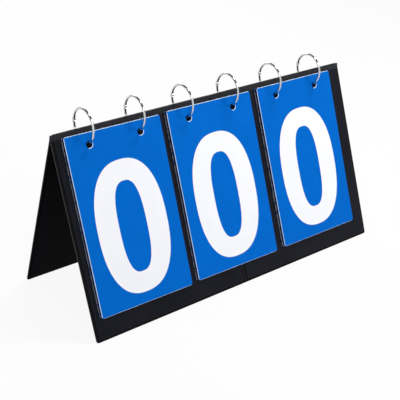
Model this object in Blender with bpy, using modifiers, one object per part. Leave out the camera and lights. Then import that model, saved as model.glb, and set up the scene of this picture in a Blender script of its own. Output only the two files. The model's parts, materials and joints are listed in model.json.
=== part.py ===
"""Tabletop flip scoreboard: a folding tent of two vinyl-covered panels, three stacks of ten
digit cards, and six hinged binder rings that carry them. Metres, +Z up, the digits face -Y."""

import math

import bmesh
import bpy
from mathutils import Matrix, Vector

# Panels, sized by the cards and the margins round them
LEFT_MARGIN = 0.010
RIGHT_MARGIN = 0.019
BOTTOM_MARGIN = 0.022
TENT_HALF_ANGLE = math.radians(20.5)
SHEET = 0.0005
BOARD = 0.0018
BOARD_FIT = 0.0001
WELD_GAP = 0.0001
RIM_WIDTH = 0.0024
PANEL_CORNER = 0.0025
RAISED_CORNER = 0.0030
CHANNEL_WIDTH = 0.0050
PANEL_HOLE_RADIUS = 0.0042
CLOSED_GAP = 0.0005
TOP_CLEARANCE = 0.0003

# Flexible spine over the fold
SPINE_THICKNESS = 0.0010
SPINE_BEND_RADIUS = 0.0013
SPINE_END_GAP = 0.0003

# Cards
CARD_WIDTH = 0.107
CARD_HEIGHT = 0.175
CARD_THICKNESS = 0.00025
CARD_GAP = 0.00005
CARD_SEAT_GAP = 0.00015
CARD_CORNER = 0.0022
CARD_TOP = 0.0060
CARD_HOLE_DROP = 0.0115
CARD_HOLE_RADIUS = 0.0034
CARD_FAN = 0.00006
CARDS_PER_STACK = 10
STACK_GAP = 0.010
STACK_NAMES = ("hundreds", "tens", "units")

# Rings
RING_SPREAD = 0.057
RING_RADIUS = 0.0166
RING_LIFT = 0.0006
WIRE_RADIUS = 0.0011
KNUCKLE_ANGLE = math.radians(265.0)
LUG_RADIUS = 0.00125
LUG_HALF_WIDTH = 0.00085
LUG_THICKNESS = 0.0008
LUG_GAP = 0.0001
LUG_BITE = 0.0004
WIRE_SETBACK = 0.0019
PIN_RADIUS = 0.00045
PIN_CLEARANCE = 0.00005
PIN_HEAD_RADIUS = 0.0007
PIN_HEAD_THICKNESS = 0.00025
CLASP_GAP = 0.0001
CLASP_TIP_RADIUS = 0.0005
CLASP_TIP_LENGTH = 0.0010
CLASP_CLEARANCE = 0.00012

# Facets
HOLE_SIDES = 12
CORNER_STEPS = 3
RING_STEPS = 18
RING_END_LEAD = 0.1
LUG_STEPS = 8
PIN_STEPS = 10
CUT_MARGIN = 0.001

# What follows from those sizes
STACK_PITCH = CARD_WIDTH + STACK_GAP
STACKS_WIDTH = CARD_WIDTH + STACK_PITCH * (len(STACK_NAMES) - 1)
PANEL_WIDTH = LEFT_MARGIN + STACKS_WIDTH + RIGHT_MARGIN
PANEL_LENGTH = CARD_TOP + CARD_HEIGHT + BOTTOM_MARGIN
FIRST_STACK = LEFT_MARGIN + CARD_WIDTH / 2 - PANEL_WIDTH / 2
STEP = (BOARD + 2 * BOARD_FIT - WELD_GAP) / 2
TRAY_DEPTH = STEP + SHEET
PANEL_THICKNESS = BOARD + 2 * BOARD_FIT + 2 * SHEET
SIN = math.sin(TENT_HALF_ANGLE)
COS = math.cos(TENT_HALF_ANGLE)
FLANGE_DEPTH = PANEL_THICKNESS - STEP
APEX_HEIGHT = PANEL_LENGTH * COS + FLANGE_DEPTH * SIN
PANEL_TOP = (PANEL_THICKNESS * COS + TOP_CLEARANCE / 2) / SIN
FOLD_DROP = (PANEL_THICKNESS + CLOSED_GAP / 2) / SIN
HOLE_DROP = CARD_TOP + CARD_HOLE_DROP
CARD_STEP = CARD_THICKNESS + CARD_GAP
CLASP_ANGLE = KNUCKLE_ANGLE - math.pi
STACKS = {name: FIRST_STACK + STACK_PITCH * k for k, name in enumerate(STACK_NAMES)}
SIDES = {"left": -RING_SPREAD / 2, "right": RING_SPREAD / 2}

BLACK_VINYL = ((0.012, 0.013, 0.016), 0.45, 0.0)
GREY_BOARD = ((0.32, 0.29, 0.25), 0.90, 0.0)
BLUE_CARD = ((0.0, 0.135, 0.60), 0.40, 0.0)
BRIGHT_STEEL = ((0.62, 0.62, 0.64), 0.15, 1.0)


def clear_scene():
    for item in list(bpy.data.objects):
        bpy.data.objects.remove(item, do_unlink=True)


def new_collection(name):
    collection = bpy.data.collections.new(name)
    bpy.context.scene.collection.children.link(collection)
    return collection


def material(name, look):
    colour, roughness, metallic = look
    made = bpy.data.materials.new(name)
    made.use_nodes = True
    shader = made.node_tree.nodes["Principled BSDF"]
    shader.inputs["Base Color"].default_value = (*colour, 1.0)
    shader.inputs["Roughness"].default_value = roughness
    shader.inputs["Metallic"].default_value = metallic
    return made


# Outlines, as lists of points in a plane
def rounded_outline(left, right, bottom, top, radius, sharp_top=False):
    corners = [
        (right - radius, bottom + radius, -0.5),
        (right - radius, top - radius, 0.0),
        (left + radius, top - radius, 0.5),
        (left + radius, bottom + radius, 1.0),
    ]
    points = []
    for number, (x, y, start) in enumerate(corners):
        if sharp_top and number in (1, 2):
            points.append((right if number == 1 else left, top))
            continue
        for step in range(CORNER_STEPS + 1):
            angle = math.pi * (start + 0.5 * step / CORNER_STEPS)
            points.append((x + radius * math.cos(angle), y + radius * math.sin(angle)))
    return points


def hole_outline(x, y, radius, sides=HOLE_SIDES):
    reach = radius / math.cos(math.pi / sides)
    turn = 2 * math.pi / sides
    return [(x + reach * math.cos(turn * k), y + reach * math.sin(turn * k)) for k in range(sides)]


def weld(mesh):
    work = bmesh.new()
    work.from_mesh(mesh)
    bmesh.ops.remove_doubles(work, verts=work.verts, dist=0.000001)
    bmesh.ops.recalc_face_normals(work, faces=work.faces)
    work.to_mesh(mesh)
    work.free()
    return mesh


def evaluated_mesh(item, name):
    graph = bpy.context.evaluated_depsgraph_get()
    mesh = bpy.data.meshes.new_from_object(item.evaluated_get(graph))
    mesh.name = name
    mesh.transform(item.matrix_world)
    return mesh


def curve_mesh(curve, name):
    carrier = bpy.data.objects.new(name + "_curve", curve)
    bpy.context.scene.collection.objects.link(carrier)
    bpy.context.view_layer.update()
    mesh = weld(evaluated_mesh(carrier, name))
    bpy.data.objects.remove(carrier, do_unlink=True)
    bpy.data.curves.remove(curve)
    return mesh


def add_poly(curve, points, closed):
    spline = curve.splines.new("POLY")
    spline.points.add(len(points) - 1)
    for point, place in zip(spline.points, points):
        point.co = (*place, 1.0) if len(place) == 3 else (*place, 0.0, 1.0)
    spline.use_cyclic_u = closed


def flat_piece(name, outlines, thickness):
    """A sheet with the first outline as its edge and the others as holes, thick about z = 0."""
    curve = bpy.data.curves.new(name, "CURVE")
    curve.dimensions = "2D"
    curve.fill_mode = "BOTH"
    curve.extrude = thickness / 2
    for outline in outlines:
        add_poly(curve, outline, True)
    return curve_mesh(curve, name)


def upright(mesh, near, far):
    """Stands a flat piece up in the panel plane, between two depths behind the outer face."""
    mesh.transform(Matrix.Translation((0, (near + far) / 2, 0)) @ Matrix.Rotation(math.pi / 2, 4, "X"))
    return mesh


def panel_slab(name, outlines, near, far):
    return upright(flat_piece(name, outlines, far - near), near, far)


def boolean(name, base, steps):
    """Applies Boolean steps, each a pair of operation and mesh, to the base mesh."""
    made = bpy.data.objects.new(name, base)
    bpy.context.scene.collection.objects.link(made)
    helpers = []
    for operation, mesh in steps:
        helper = bpy.data.objects.new(name + "_helper", mesh)
        bpy.context.scene.collection.objects.link(helper)
        helpers.append(helper)
        modifier = made.modifiers.new(operation.lower(), "BOOLEAN")
        modifier.operation = operation
        modifier.solver = "EXACT"
        modifier.object = helper
    bpy.context.view_layer.update()
    result = weld(evaluated_mesh(made, name))
    for item in [made, *helpers]:
        bpy.data.objects.remove(item, do_unlink=True)
    return result


# Panels, in their own frame: origin on the apex line, x across, -z down the slope, +y inwards
def panel_outline(grow=0.0):
    half = PANEL_WIDTH / 2 + grow
    foot = -PANEL_LENGTH - grow
    return rounded_outline(-half, half, foot, -PANEL_TOP + grow, PANEL_CORNER, sharp_top=True)


def side_outline(side, inset, top):
    """The raised half of a panel, from the sunk centre seam to the welded rim."""
    near = side * (CHANNEL_WIDTH / 2 + inset)
    far = side * (PANEL_WIDTH / 2 - RIM_WIDTH - inset)
    left, right = sorted((near, far))
    foot = RIM_WIDTH + inset - PANEL_LENGTH
    return rounded_outline(left, right, foot, top, RAISED_CORNER - inset)


def ring_holes(places, radius):
    return [hole_outline(x, -HOLE_DROP, radius) for x in places]


def sheet_tray(name, hole_places):
    """A formed vinyl sheet: a thin rim to weld, a step up round the boards, a sunk centre seam."""
    beyond = TRAY_DEPTH + CUT_MARGIN
    body = panel_slab(name, [panel_outline()], 0, TRAY_DEPTH)
    raised = [side_outline(side, 0, CUT_MARGIN - PANEL_TOP + RAISED_CORNER) for side in (-1, 1)]
    reach = 2 * CUT_MARGIN + RAISED_CORNER
    relief = panel_slab(name + "_relief", [panel_outline(reach), *raised], -CUT_MARGIN, STEP)
    hollows = [side_outline(side, SHEET, -PANEL_TOP - SHEET) for side in (-1, 1)]
    pockets = panel_slab(name + "_pockets", hollows, SHEET, beyond)
    drills = panel_slab(name + "_drills", ring_holes(hole_places, PANEL_HOLE_RADIUS), -CUT_MARGIN, beyond)
    return boolean(name, body, [("DIFFERENCE", cutter) for cutter in (relief, pockets, drills)])


def board(name, side, hole_places):
    inset = SHEET + BOARD_FIT
    edge = side_outline(side, inset, -PANEL_TOP - inset)
    inside = [x for x in hole_places if x * side > 0]
    return panel_slab(name, [edge, *ring_holes(inside, PANEL_HOLE_RADIUS)], inset, inset + BOARD)


def spine(name):
    """The vinyl that bends over the fold: two short flaps and a round apex, swept along X."""
    outer_end = PANEL_TOP - SPINE_END_GAP
    inner_radius = SPINE_BEND_RADIUS - SPINE_THICKNESS
    centre = -SPINE_BEND_RADIUS / SIN
    spread = math.pi / 2 - TENT_HALF_ANGLE
    outer = []
    inner = []
    for step in range(LUG_STEPS + 1):
        angle = math.pi / 2 + spread * (1 - 2 * step / LUG_STEPS)
        reach = Vector((math.cos(angle), math.sin(angle)))
        outer.append((SPINE_BEND_RADIUS * reach.x, centre + SPINE_BEND_RADIUS * reach.y))
        inner.append((inner_radius * reach.x, centre + inner_radius * reach.y))
    front_outer = (-outer_end * SIN, -outer_end * COS)
    front_inner = (front_outer[0] + SPINE_THICKNESS * COS, front_outer[1] - SPINE_THICKNESS * SIN)
    back_outer = (-front_outer[0], front_outer[1])
    back_inner = (-front_inner[0], front_inner[1])
    outline = [front_outer, *outer, back_outer, back_inner, *reversed(inner), front_inner]
    mesh = flat_piece(name, [outline], PANEL_WIDTH)
    turn = Matrix.Rotation(math.pi / 2, 4, "Z") @ Matrix.Rotation(math.pi / 2, 4, "X")
    mesh.transform(turn)
    return mesh


# Cards, with their origin midway between the two holes
def card(name):
    half = CARD_WIDTH / 2
    top = CARD_HOLE_DROP
    edge = rounded_outline(-half, half, top - CARD_HEIGHT, top, CARD_CORNER)
    holes = [hole_outline(x, 0, CARD_HOLE_RADIUS) for x in SIDES.values()]
    return panel_slab(name, [edge, *holes], -CARD_THICKNESS / 2, CARD_THICKNESS / 2)


# Rings, in their own frame: origin at the ring's centre, angle from straight down towards -Y
def ring_point(angle, radius=RING_RADIUS):
    return Vector((0, -radius * math.sin(angle), -radius * math.cos(angle)))


def ring_along(angle):
    return Vector((0, -math.cos(angle), math.sin(angle)))


def wire(name, start, end):
    curve = bpy.data.curves.new(name, "CURVE")
    curve.dimensions = "3D"
    curve.bevel_depth = WIRE_RADIUS
    curve.bevel_resolution = 2
    curve.use_fill_caps = True
    shares = [k / RING_STEPS for k in range(RING_STEPS + 1)]
    shares[1] *= RING_END_LEAD
    shares[-2] = 1 - shares[1]
    add_poly(curve, [tuple(ring_point(start + (end - start) * share)) for share in shares], False)
    return curve_mesh(curve, name)


def ring_frame(angle, heading):
    """A frame at a point of the ring: x along the wire in the given heading, z along X."""
    along = ring_along(angle) * heading
    across = Vector((1, 0, 0)).cross(along)
    frame = Matrix((along, across, Vector((1, 0, 0)))).transposed().to_4x4()
    frame.translation = ring_point(angle)
    return frame


def lug(name, heading, side):
    """The flattened end of a wire at the knuckle: a neck and an eye, on one side of the ring."""
    bend = math.asin(LUG_HALF_WIDTH / LUG_RADIUS)
    length = WIRE_SETBACK + LUG_BITE
    outline = [(length, -LUG_HALF_WIDTH), (length, LUG_HALF_WIDTH)]
    for step in range(LUG_STEPS + 1):
        angle = bend + (2 * math.pi - 2 * bend) * step / LUG_STEPS
        outline.append((LUG_RADIUS * math.cos(angle), LUG_RADIUS * math.sin(angle)))
    eye = hole_outline(0, 0, PIN_RADIUS + PIN_CLEARANCE, PIN_STEPS)
    mesh = flat_piece(name, [outline, eye], LUG_THICKNESS)
    middle = side * (LUG_GAP + LUG_THICKNESS) / 2
    mesh.transform(ring_frame(KNUCKLE_ANGLE, heading) @ Matrix.Translation((0, 0, middle)))
    return mesh


def rod(name, radius, start, end, sides):
    work = bmesh.new()
    bmesh.ops.create_cone(
        work,
        cap_ends=True,
        segments=sides,
        radius1=radius,
        radius2=radius,
        depth=end - start,
        matrix=Matrix.Translation((0, 0, (start + end) / 2)),
    )
    mesh = bpy.data.meshes.new(name)
    work.to_mesh(mesh)
    work.free()
    return mesh


def lower_half(name):
    setback = WIRE_SETBACK / RING_RADIUS
    gap = CLASP_GAP / 2 / RING_RADIUS
    body = wire(name, KNUCKLE_ANGLE + setback, CLASP_ANGLE + 2 * math.pi - gap)
    tip = rod(name + "_tip", CLASP_TIP_RADIUS, -CLASP_TIP_LENGTH, CLASP_TIP_LENGTH, PIN_STEPS)
    heading = Vector((0, 0, 1)).rotation_difference(ring_along(CLASP_ANGLE)).to_matrix().to_4x4()
    tip.transform(Matrix.Translation(ring_point(CLASP_ANGLE)) @ heading)
    return boolean(name, body, [("UNION", lug(name + "_lug", 1, -1)), ("UNION", tip)])


def upper_half(name):
    setback = WIRE_SETBACK / RING_RADIUS
    gap = CLASP_GAP / 2 / RING_RADIUS
    body = wire(name, CLASP_ANGLE + gap, KNUCKLE_ANGLE - setback)
    radius = CLASP_TIP_RADIUS + CLASP_CLEARANCE
    depth = CLASP_TIP_LENGTH + CLASP_CLEARANCE * 2
    socket = rod(name + "_socket", radius, -depth, depth, PIN_STEPS)
    heading = Vector((0, 0, 1)).rotation_difference(ring_along(CLASP_ANGLE)).to_matrix().to_4x4()
    socket.transform(Matrix.Translation(ring_point(CLASP_ANGLE)) @ heading)
    steps = [("UNION", lug(name + "_lug", -1, 1)), ("DIFFERENCE", socket)]
    mesh = boolean(name, body, steps)
    mesh.transform(Matrix.Translation(-ring_point(KNUCKLE_ANGLE)))
    return mesh


def turned(name, profile, steps):
    """A closed solid turned about z from a profile that runs down its outer side."""
    outline = bpy.data.meshes.new(name + "_profile")
    edges = [(k, k + 1) for k in range(len(profile) - 1)]
    outline.from_pydata([(r, 0, z) for r, z in profile], edges, [])
    carrier = bpy.data.objects.new(name + "_profile", outline)
    bpy.context.scene.collection.objects.link(carrier)
    screw = carrier.modifiers.new("turn", "SCREW")
    screw.steps = steps
    screw.render_steps = steps
    screw.use_merge_vertices = True
    screw.merge_threshold = 0.000001
    bpy.context.view_layer.update()
    mesh = weld(evaluated_mesh(carrier, name))
    bpy.data.objects.remove(carrier, do_unlink=True)
    return mesh


def pin(name):
    """The knuckle's rivet: a shank through both eyes and a flat head on each side."""
    seat = LUG_GAP / 2 + LUG_THICKNESS + PIN_CLEARANCE
    end = seat + PIN_HEAD_THICKNESS
    profile = [
        (0, end),
        (PIN_HEAD_RADIUS, end),
        (PIN_HEAD_RADIUS, seat),
        (PIN_RADIUS, seat),
        (PIN_RADIUS, -seat),
        (PIN_HEAD_RADIUS, -seat),
        (PIN_HEAD_RADIUS, -end),
        (0, -end),
    ]
    mesh = turned(name, profile, PIN_STEPS)
    mesh.transform(Matrix.Rotation(math.pi / 2, 4, "Y"))
    return mesh


# Placing
def frame_empty(collection, name, world):
    empty = bpy.data.objects.new(name, None)
    empty.empty_display_size = 0.01
    collection.objects.link(empty)
    empty.matrix_world = world
    return empty, world


def place(collection, name, mesh, parent, world, look, smooth=False):
    item = bpy.data.objects.new(name, mesh)
    collection.objects.link(item)
    item.data.materials.clear()
    item.data.materials.append(None)
    item.material_slots[0].link = "OBJECT"
    item.material_slots[0].material = material(name, look)
    holder, holder_world = parent
    item.parent = holder
    item.matrix_local = holder_world.inverted() @ world
    if smooth:
        mesh.shade_smooth()
        mesh.set_sharp_from_angle(angle=math.radians(40))
    return item


def build_panels(collection, front, fold):
    places = [x + offset for x in STACKS.values() for offset in SIDES.values()]
    sides = {"left": -1, "right": 1}
    half_turn = Matrix.Rotation(math.pi, 4, "Z")
    apex = Matrix.Translation((0, 0, APEX_HEIGHT))
    lean = Matrix.Rotation(-TENT_HALF_ANGLE, 4, "X")
    inside_out = Matrix.Translation((0, PANEL_THICKNESS, 0)) @ half_turn
    for panel, holder, mirror, world in (
        ("front", front, 1, apex @ lean),
        ("back", fold, -1, apex @ half_turn @ lean),
    ):
        own = [mirror * x for x in places]
        cover = sheet_tray(panel + "_cover", own)
        place(collection, panel + "_cover", cover, holder, world, BLACK_VINYL)
        lining = sheet_tray(panel + "_lining", [-x for x in own])
        place(collection, panel + "_lining", lining, holder, world @ inside_out, BLACK_VINYL)
        for side, sign in sides.items():
            name = panel + "_board_" + side
            mesh = board(name, sign * mirror, own)
            place(collection, name, mesh, holder, world, GREY_BOARD)


def build_spine(collection, front):
    world = Matrix.Translation((0, 0, APEX_HEIGHT))
    place(collection, "spine", spine("spine"), front, world, BLACK_VINYL, smooth=True)


def build_stack(collection, stack, x):
    turn_centre = Vector((x, 0, APEX_HEIGHT + RING_LIFT))
    turn = frame_empty(collection, stack + "_turn_axis", Matrix.Translation(turn_centre))
    lean = Matrix.Rotation(-TENT_HALF_ANGLE, 4, "X")
    apex = Matrix.Translation((x, 0, APEX_HEIGHT))
    sheet = card("card_" + stack)
    for number in range(CARDS_PER_STACK):
        behind = CARDS_PER_STACK - 1 - number
        out = CARD_SEAT_GAP + CARD_THICKNESS / 2 + behind * CARD_STEP
        sideways = -CARD_FAN * number
        spot = Matrix.Translation((sideways, -out, -HOLE_DROP))
        world = apex @ lean @ spot
        place(collection, "card_" + stack + "_" + str(number), sheet, turn, world, BLUE_CARD)
    return turn, turn_centre


def build_rings(collection, stack, turn, centre, halves):
    lower, upper, rivet = halves
    hinge = ring_point(KNUCKLE_ANGLE)
    for side, offset in SIDES.items():
        name = "ring_" + stack + "_" + side
        middle = Matrix.Translation(centre + Vector((offset, 0, 0)))
        at_hinge = middle @ Matrix.Translation(hinge)
        place(collection, name + "_lower", lower, turn, middle, BRIGHT_STEEL)
        place(collection, name + "_upper", upper, turn, at_hinge, BRIGHT_STEEL)
        place(collection, name + "_pin", rivet, turn, at_hinge, BRIGHT_STEEL)


def round_off(mesh):
    mesh.shade_smooth()
    mesh.set_sharp_from_angle(angle=math.radians(40))
    return mesh


def main():
    clear_scene()
    collection = new_collection("tabletop_scoreboard")
    lean = Matrix.Rotation(-TENT_HALF_ANGLE, 4, "X")
    half_turn = Matrix.Rotation(math.pi, 4, "Z")
    front = frame_empty(collection, "front_panel_frame", Matrix.Translation((0, 0, APEX_HEIGHT)) @ lean)
    fold_line = Matrix.Translation((0, 0, APEX_HEIGHT - FOLD_DROP))
    fold = frame_empty(collection, "fold_axis", fold_line @ half_turn @ lean)
    build_panels(collection, front, fold)
    build_spine(collection, front)
    halves = (
        round_off(lower_half("ring_lower")),
        round_off(upper_half("ring_upper")),
        round_off(pin("ring_pin")),
    )
    for stack, x in STACKS.items():
        turn, centre = build_stack(collection, stack, x)
        build_rings(collection, stack, turn, centre, halves)


main()
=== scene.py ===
import json
import math

import bmesh
import bpy
from mathutils import Matrix, Vector


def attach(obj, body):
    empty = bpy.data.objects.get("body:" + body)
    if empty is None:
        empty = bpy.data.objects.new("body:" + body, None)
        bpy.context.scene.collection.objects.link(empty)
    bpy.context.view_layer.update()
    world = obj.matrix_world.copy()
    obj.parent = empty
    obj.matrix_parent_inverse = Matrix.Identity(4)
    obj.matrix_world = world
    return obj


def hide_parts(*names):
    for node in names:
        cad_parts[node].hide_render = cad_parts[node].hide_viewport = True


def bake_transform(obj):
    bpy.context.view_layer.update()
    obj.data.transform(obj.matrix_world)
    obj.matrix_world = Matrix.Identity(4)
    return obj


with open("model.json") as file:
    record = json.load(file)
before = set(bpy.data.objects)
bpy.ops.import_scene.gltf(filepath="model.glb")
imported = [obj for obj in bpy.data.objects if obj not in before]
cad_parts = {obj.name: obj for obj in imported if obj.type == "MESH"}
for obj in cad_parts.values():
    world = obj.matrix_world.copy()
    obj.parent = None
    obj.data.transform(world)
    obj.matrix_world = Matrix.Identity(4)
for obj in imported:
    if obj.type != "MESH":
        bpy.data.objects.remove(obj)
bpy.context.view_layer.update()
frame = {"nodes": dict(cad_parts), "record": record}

RECORD_BODIES = frame["record"]["behaviour"]["bodies"]

# The case, in metres, as the solids have it
PANEL_WIDTH = 0.370
PANEL_LENGTH = 0.203
PANEL_THICKNESS = 0.0030
HALF_ANGLE = math.radians(20.5)
SIN = math.sin(HALF_ANGLE)
COS = math.cos(HALF_ANGLE)
SKIN = 0.0005 * 0.9  # drawn a little thinner than the solid vinyl, so that it stays inside it
STEP = 0.00095  # how far the welded rim lies behind the flat of the panel
RIM = 0.0024  # width of the welded rim
APEX = PANEL_LENGTH * COS + (PANEL_THICKNESS - STEP) * SIN
PANEL_TOP = 0.00845  # where the linings begin, down the slope
SEAM = 0.0050  # width of the centre weld
PANEL_CORNER = 0.0025
PANEL_HOLE = 0.0042
# The raised field over each board: its corners, its level behind the flat of the panel, its
# rounded step, its bulge, and the groove that the weld presses beside it
FIELD_CORNER = 0.0030
FIELD_LEVEL = 0.0001
SWELL_START = 0.0001
SWELL_WIDTH = 0.0011
PILLOW = 0.00010
PILLOW_REACH = 0.02
GROOVE = 0.00018
GROOVE_INSET = 0.0006
GROOVE_WIDTH = 0.0004
# The rounded fold along the top: where it leaves the slope, its two handles, its dip
FOLD_START = 0.0085
FOLD_REACH = 0.0066
FOLD_SHOULDER = 0.0012
FOLD_DIP = 0.0005
FOLD_STEPS = 10  # on each side of the top
BEYOND_FOLD = -0.05  # upper end of a field that runs on over the fold
ABOVE_LINING = PANEL_TOP - 0.02  # the same for a lining, which stops short of the fold
NEAR_CENTRE = 0.05  # half the width round the centre weld that is smoothed at the fold
FOLD_SEAM_LEVEL = -0.0003  # the centre weld's lowest level on top of the fold
# Grid of the vinyl sheets: fine lines through the welds, coarse ones between
FINE_LINE = 0.00026
COARSE_LINE = 0.009
FINE_RIM = 0.0042
FINE_SEAM = SEAM / 2 + 0.0016
CUTTER = 0.012  # depth of the shapes that cut holes and corners
CUTTER_MARGIN = 0.002
MERGE_REACH = 0.0000005  # points closer than this are one
# Material numbers of the case's faces, and what tells them apart
PLAIN, PRESSED, CUT, FOLDED = range(4)
AT_EDGE = 0.0001
PRESSED_REACH = 0.0004
SEAM_PLAIN_HALF = SEAM / 2 - 0.0010

# Ribs that the sealing tool leaves on the welds
RIB_INSET = 0.0014
RIB_TOP = 0.0115
RIB_CORNER = 0.0024
RIB_CHAMFER = 0.0007
RIB_SPACING = 0.0012
RIB_SIZE = (0.00022, 0.00062, 0.00006)
RIB_SEED = 7
RIB_LIFT = 0.00002

# Cards
CARD_WIDTH = 0.107
CARD_HEIGHT = 0.175
CARD_THICKNESS = 0.00025
CARD_PITCH = 0.0003
CARD_SEAT = 0.00015  # gap between the front panel and the last card
CARD_TOP = 0.0060  # the cards' top edge, down the slope from the apex
HOLE_DROP = 0.0175  # the punched holes, down the slope from the apex
CARD_HOLE = 0.0034
CARD_CORNER = 0.0022
CARD_FAN = 0.00012  # each deeper card lies this much further left
# the cut edges of the other cards are dark navy, painted shade of the gaps between the cards
BARE_EDGED = (0, 7, 8, 9)  # cards whose cut edges show the pale core
STACKS = {"hundreds": -0.1215, "tens": -0.0045, "units": 0.1125}
# how each stack hangs in its holes (across, down, degrees askew) and where its digits are printed
CARD_HANG = {
    "hundreds": (0.0009, 0.0002, 0.6),
    "tens": (-0.0004, 0.0002, 0.55),
    "units": (0.0, 0.0002, 0.15),
}
PRINT_SHIFT = {"hundreds": (0.0, 0.0), "tens": (-0.00125, 0.0002), "units": (0.0006, 0.0004)}
# Material numbers of a card's faces
SHEET, EDGE, DIGIT, PUNCHED = range(4)

# Rings
RING_SIDES = {"left": -0.0285, "right": 0.0285}
RING_RADIUS = 0.0166
RING_CENTRE_Z = APEX + 0.0006
RING_LEVEL = 0.0160  # how far below its centre a ring leans about
WIRE = 0.0012
KNUCKLE = math.radians(265.0)
CLASP = math.radians(85.0)
CLASP_PIN = 0.0005
CLASP_PIN_LENGTH = 0.002
WIRE_GAP = 0.00006
WIRE_SETBACK = 0.0023
LUG_RADIUS = 0.0017
LUG_HALF_WIDTH = 0.0012
LUG_THICKNESS = 0.0009
LUG_OVERLAP = 0.0006
LUG_EYE = 0.0005
LUG_GAP = 0.0001
RIVET_PLAY = 0.00005
RIVET_DOME = 0.00025
RIVET_HEAD = 0.0007
RIVET_SHANK = 0.00045
# how each ring hangs in its holes: slid across, leaning and turned (degrees), and dropped about
# its knuckle
RING_HANG = {
    "hundreds_left": (0.0005, 1.0, 1.5, 0.0003), "hundreds_right": (0.0005, 1.5, 0.0, 0.0005),
    "tens_left": (-0.0015, -1.2, 2.0, 0.0006), "tens_right": (-0.0009, 0.8, 1.0, 0.0005),
    "units_left": (-0.0014, -1.0, 1.0, 0.0006), "units_right": (-0.0016, 0.0, 2.0, 0.0006),
}

# Digit print: how far its middle lies below the card's top, and the ink's thickness
DIGIT_MIDDLE = 0.0985
INK = 0.000012
INK_KEY = 0.00003
INK_SLAB = 0.01  # digits are cut this thick and pressed flat afterwards
BRUSH_UPRIGHT = 11.6  # half widths of a drawn stroke, in millimetres
BRUSH_LEVEL = 10.5
# The card's own plane as a texture map, ten units to the metre
CARD_PLANE = "card_plane"
PLANE_SCALE = 10
# bands of painted edge light along a card's left edge, top and foot, and on the lower right of its
# hole lips
MARGINS = {"left": 0.00050, "top": 0.00045, "foot": 0.00016}
LIP_INNER = 0.00385
LIP_OUTER = 0.00425

# Stage, lamps and camera
FLOOR_HALF = 6.0
FLOOR_DROP = 0.0002
FLOOR_GLOW = 0.92  # how far camera and metal see the floor as pure white
BACKDROP_RADIUS = 4.0
BACKDROP_HEIGHT = 1.2
BACKDROP_DROP = 0.0004
SKY_LIGHT = 0.12
LAMPS = (
    # name, place, aim, size, power
    ("key_softbox", (0.81, -0.87, 0.98), (0, 0, 0.12), (0.45, 0.45), 6.3),
    ("fill_softbox", (-0.5, -1.2, 0.9), (0, 0, 0.12), (0.7, 0.7), 7.4),
    ("spine_softbox", (0.40, -0.10, 1.15), (-0.12, 0, 0.19), (0.28, 0.30), 7.5),
    ("back_softbox", (0.45, 1.25, 0.85), (0, 0, 0.1), (0.8, 0.6), 9.0),
)
CAMERA_LENS = 79.13
CAMERA_PLACE = (-0.533306, -0.658206, 0.505229)
CAMERA_RIGHT = Vector((0.7892270, -0.6136880, 0.0225332))
CAMERA_DOWN = Vector((-0.2652414, -0.3737455, -0.8887977))
CAMERA_AHEAD = Vector((0.5538662, 0.6954864, -0.4577454))


# Node helpers
def set_inputs(tree, node, inputs):
    """Gives each input its value, or links it where the value is another node's output."""
    for key, value in inputs.items():
        if isinstance(value, bpy.types.NodeSocket):
            tree.links.new(value, node.inputs[key])
        else:
            node.inputs[key].default_value = value


def add_node(tree, kind, inputs=None, **settings):
    node = tree.nodes.new(kind)
    for key, value in settings.items():
        setattr(node, key, value)
    set_inputs(tree, node, inputs or {})
    return node


def new_material(name):
    made = bpy.data.materials.new(name)
    made.use_nodes = True
    tree = made.node_tree
    return made, tree, tree.nodes["Principled BSDF"]


def object_coordinates(tree, scale=(1, 1, 1)):
    coordinates = add_node(tree, "ShaderNodeTexCoord")
    inputs = {"Vector": coordinates.outputs["Object"], "Scale": scale}
    return add_node(tree, "ShaderNodeMapping", inputs).outputs["Vector"]


def noise(tree, vector, scale, detail=3.0, roughness=0.5):
    inputs = {"Vector": vector, "Scale": scale, "Detail": detail, "Roughness": roughness}
    return add_node(tree, "ShaderNodeTexNoise", inputs).outputs["Fac"]


def cell_walls(tree, vector, scale):
    inputs = {"Vector": vector, "Scale": scale}
    node = add_node(tree, "ShaderNodeTexVoronoi", inputs, feature="DISTANCE_TO_EDGE")
    return node.outputs["Distance"]


def ramp(tree, value, low, high):
    """Blends two tones, each a position and a colour."""
    node = add_node(tree, "ShaderNodeValToRGB", {"Fac": value})
    for element, (position, colour) in zip(node.color_ramp.elements, (low, high)):
        element.position = position
        element.color = (*colour, 1.0)
    return node.outputs["Color"]


def spread(tree, value, low, high, start=0.0, end=1.0):
    """Carries start to end over to low to high, and holds what lies outside."""
    inputs = {"Value": value, "From Min": start, "From Max": end, "To Min": low, "To Max": high}
    return add_node(tree, "ShaderNodeMapRange", inputs, clamp=True).outputs["Result"]


def add_math(tree, operation, first, second=0.0):
    node = add_node(tree, "ShaderNodeMath", {0: first, 1: second}, operation=operation)
    return node.outputs["Value"]


def bump(tree, height, distance, strength, under=None):
    inputs = {"Height": height, "Distance": distance, "Strength": strength}
    if under is not None:
        inputs["Normal"] = under
    return add_node(tree, "ShaderNodeBump", inputs).outputs["Normal"]


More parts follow.
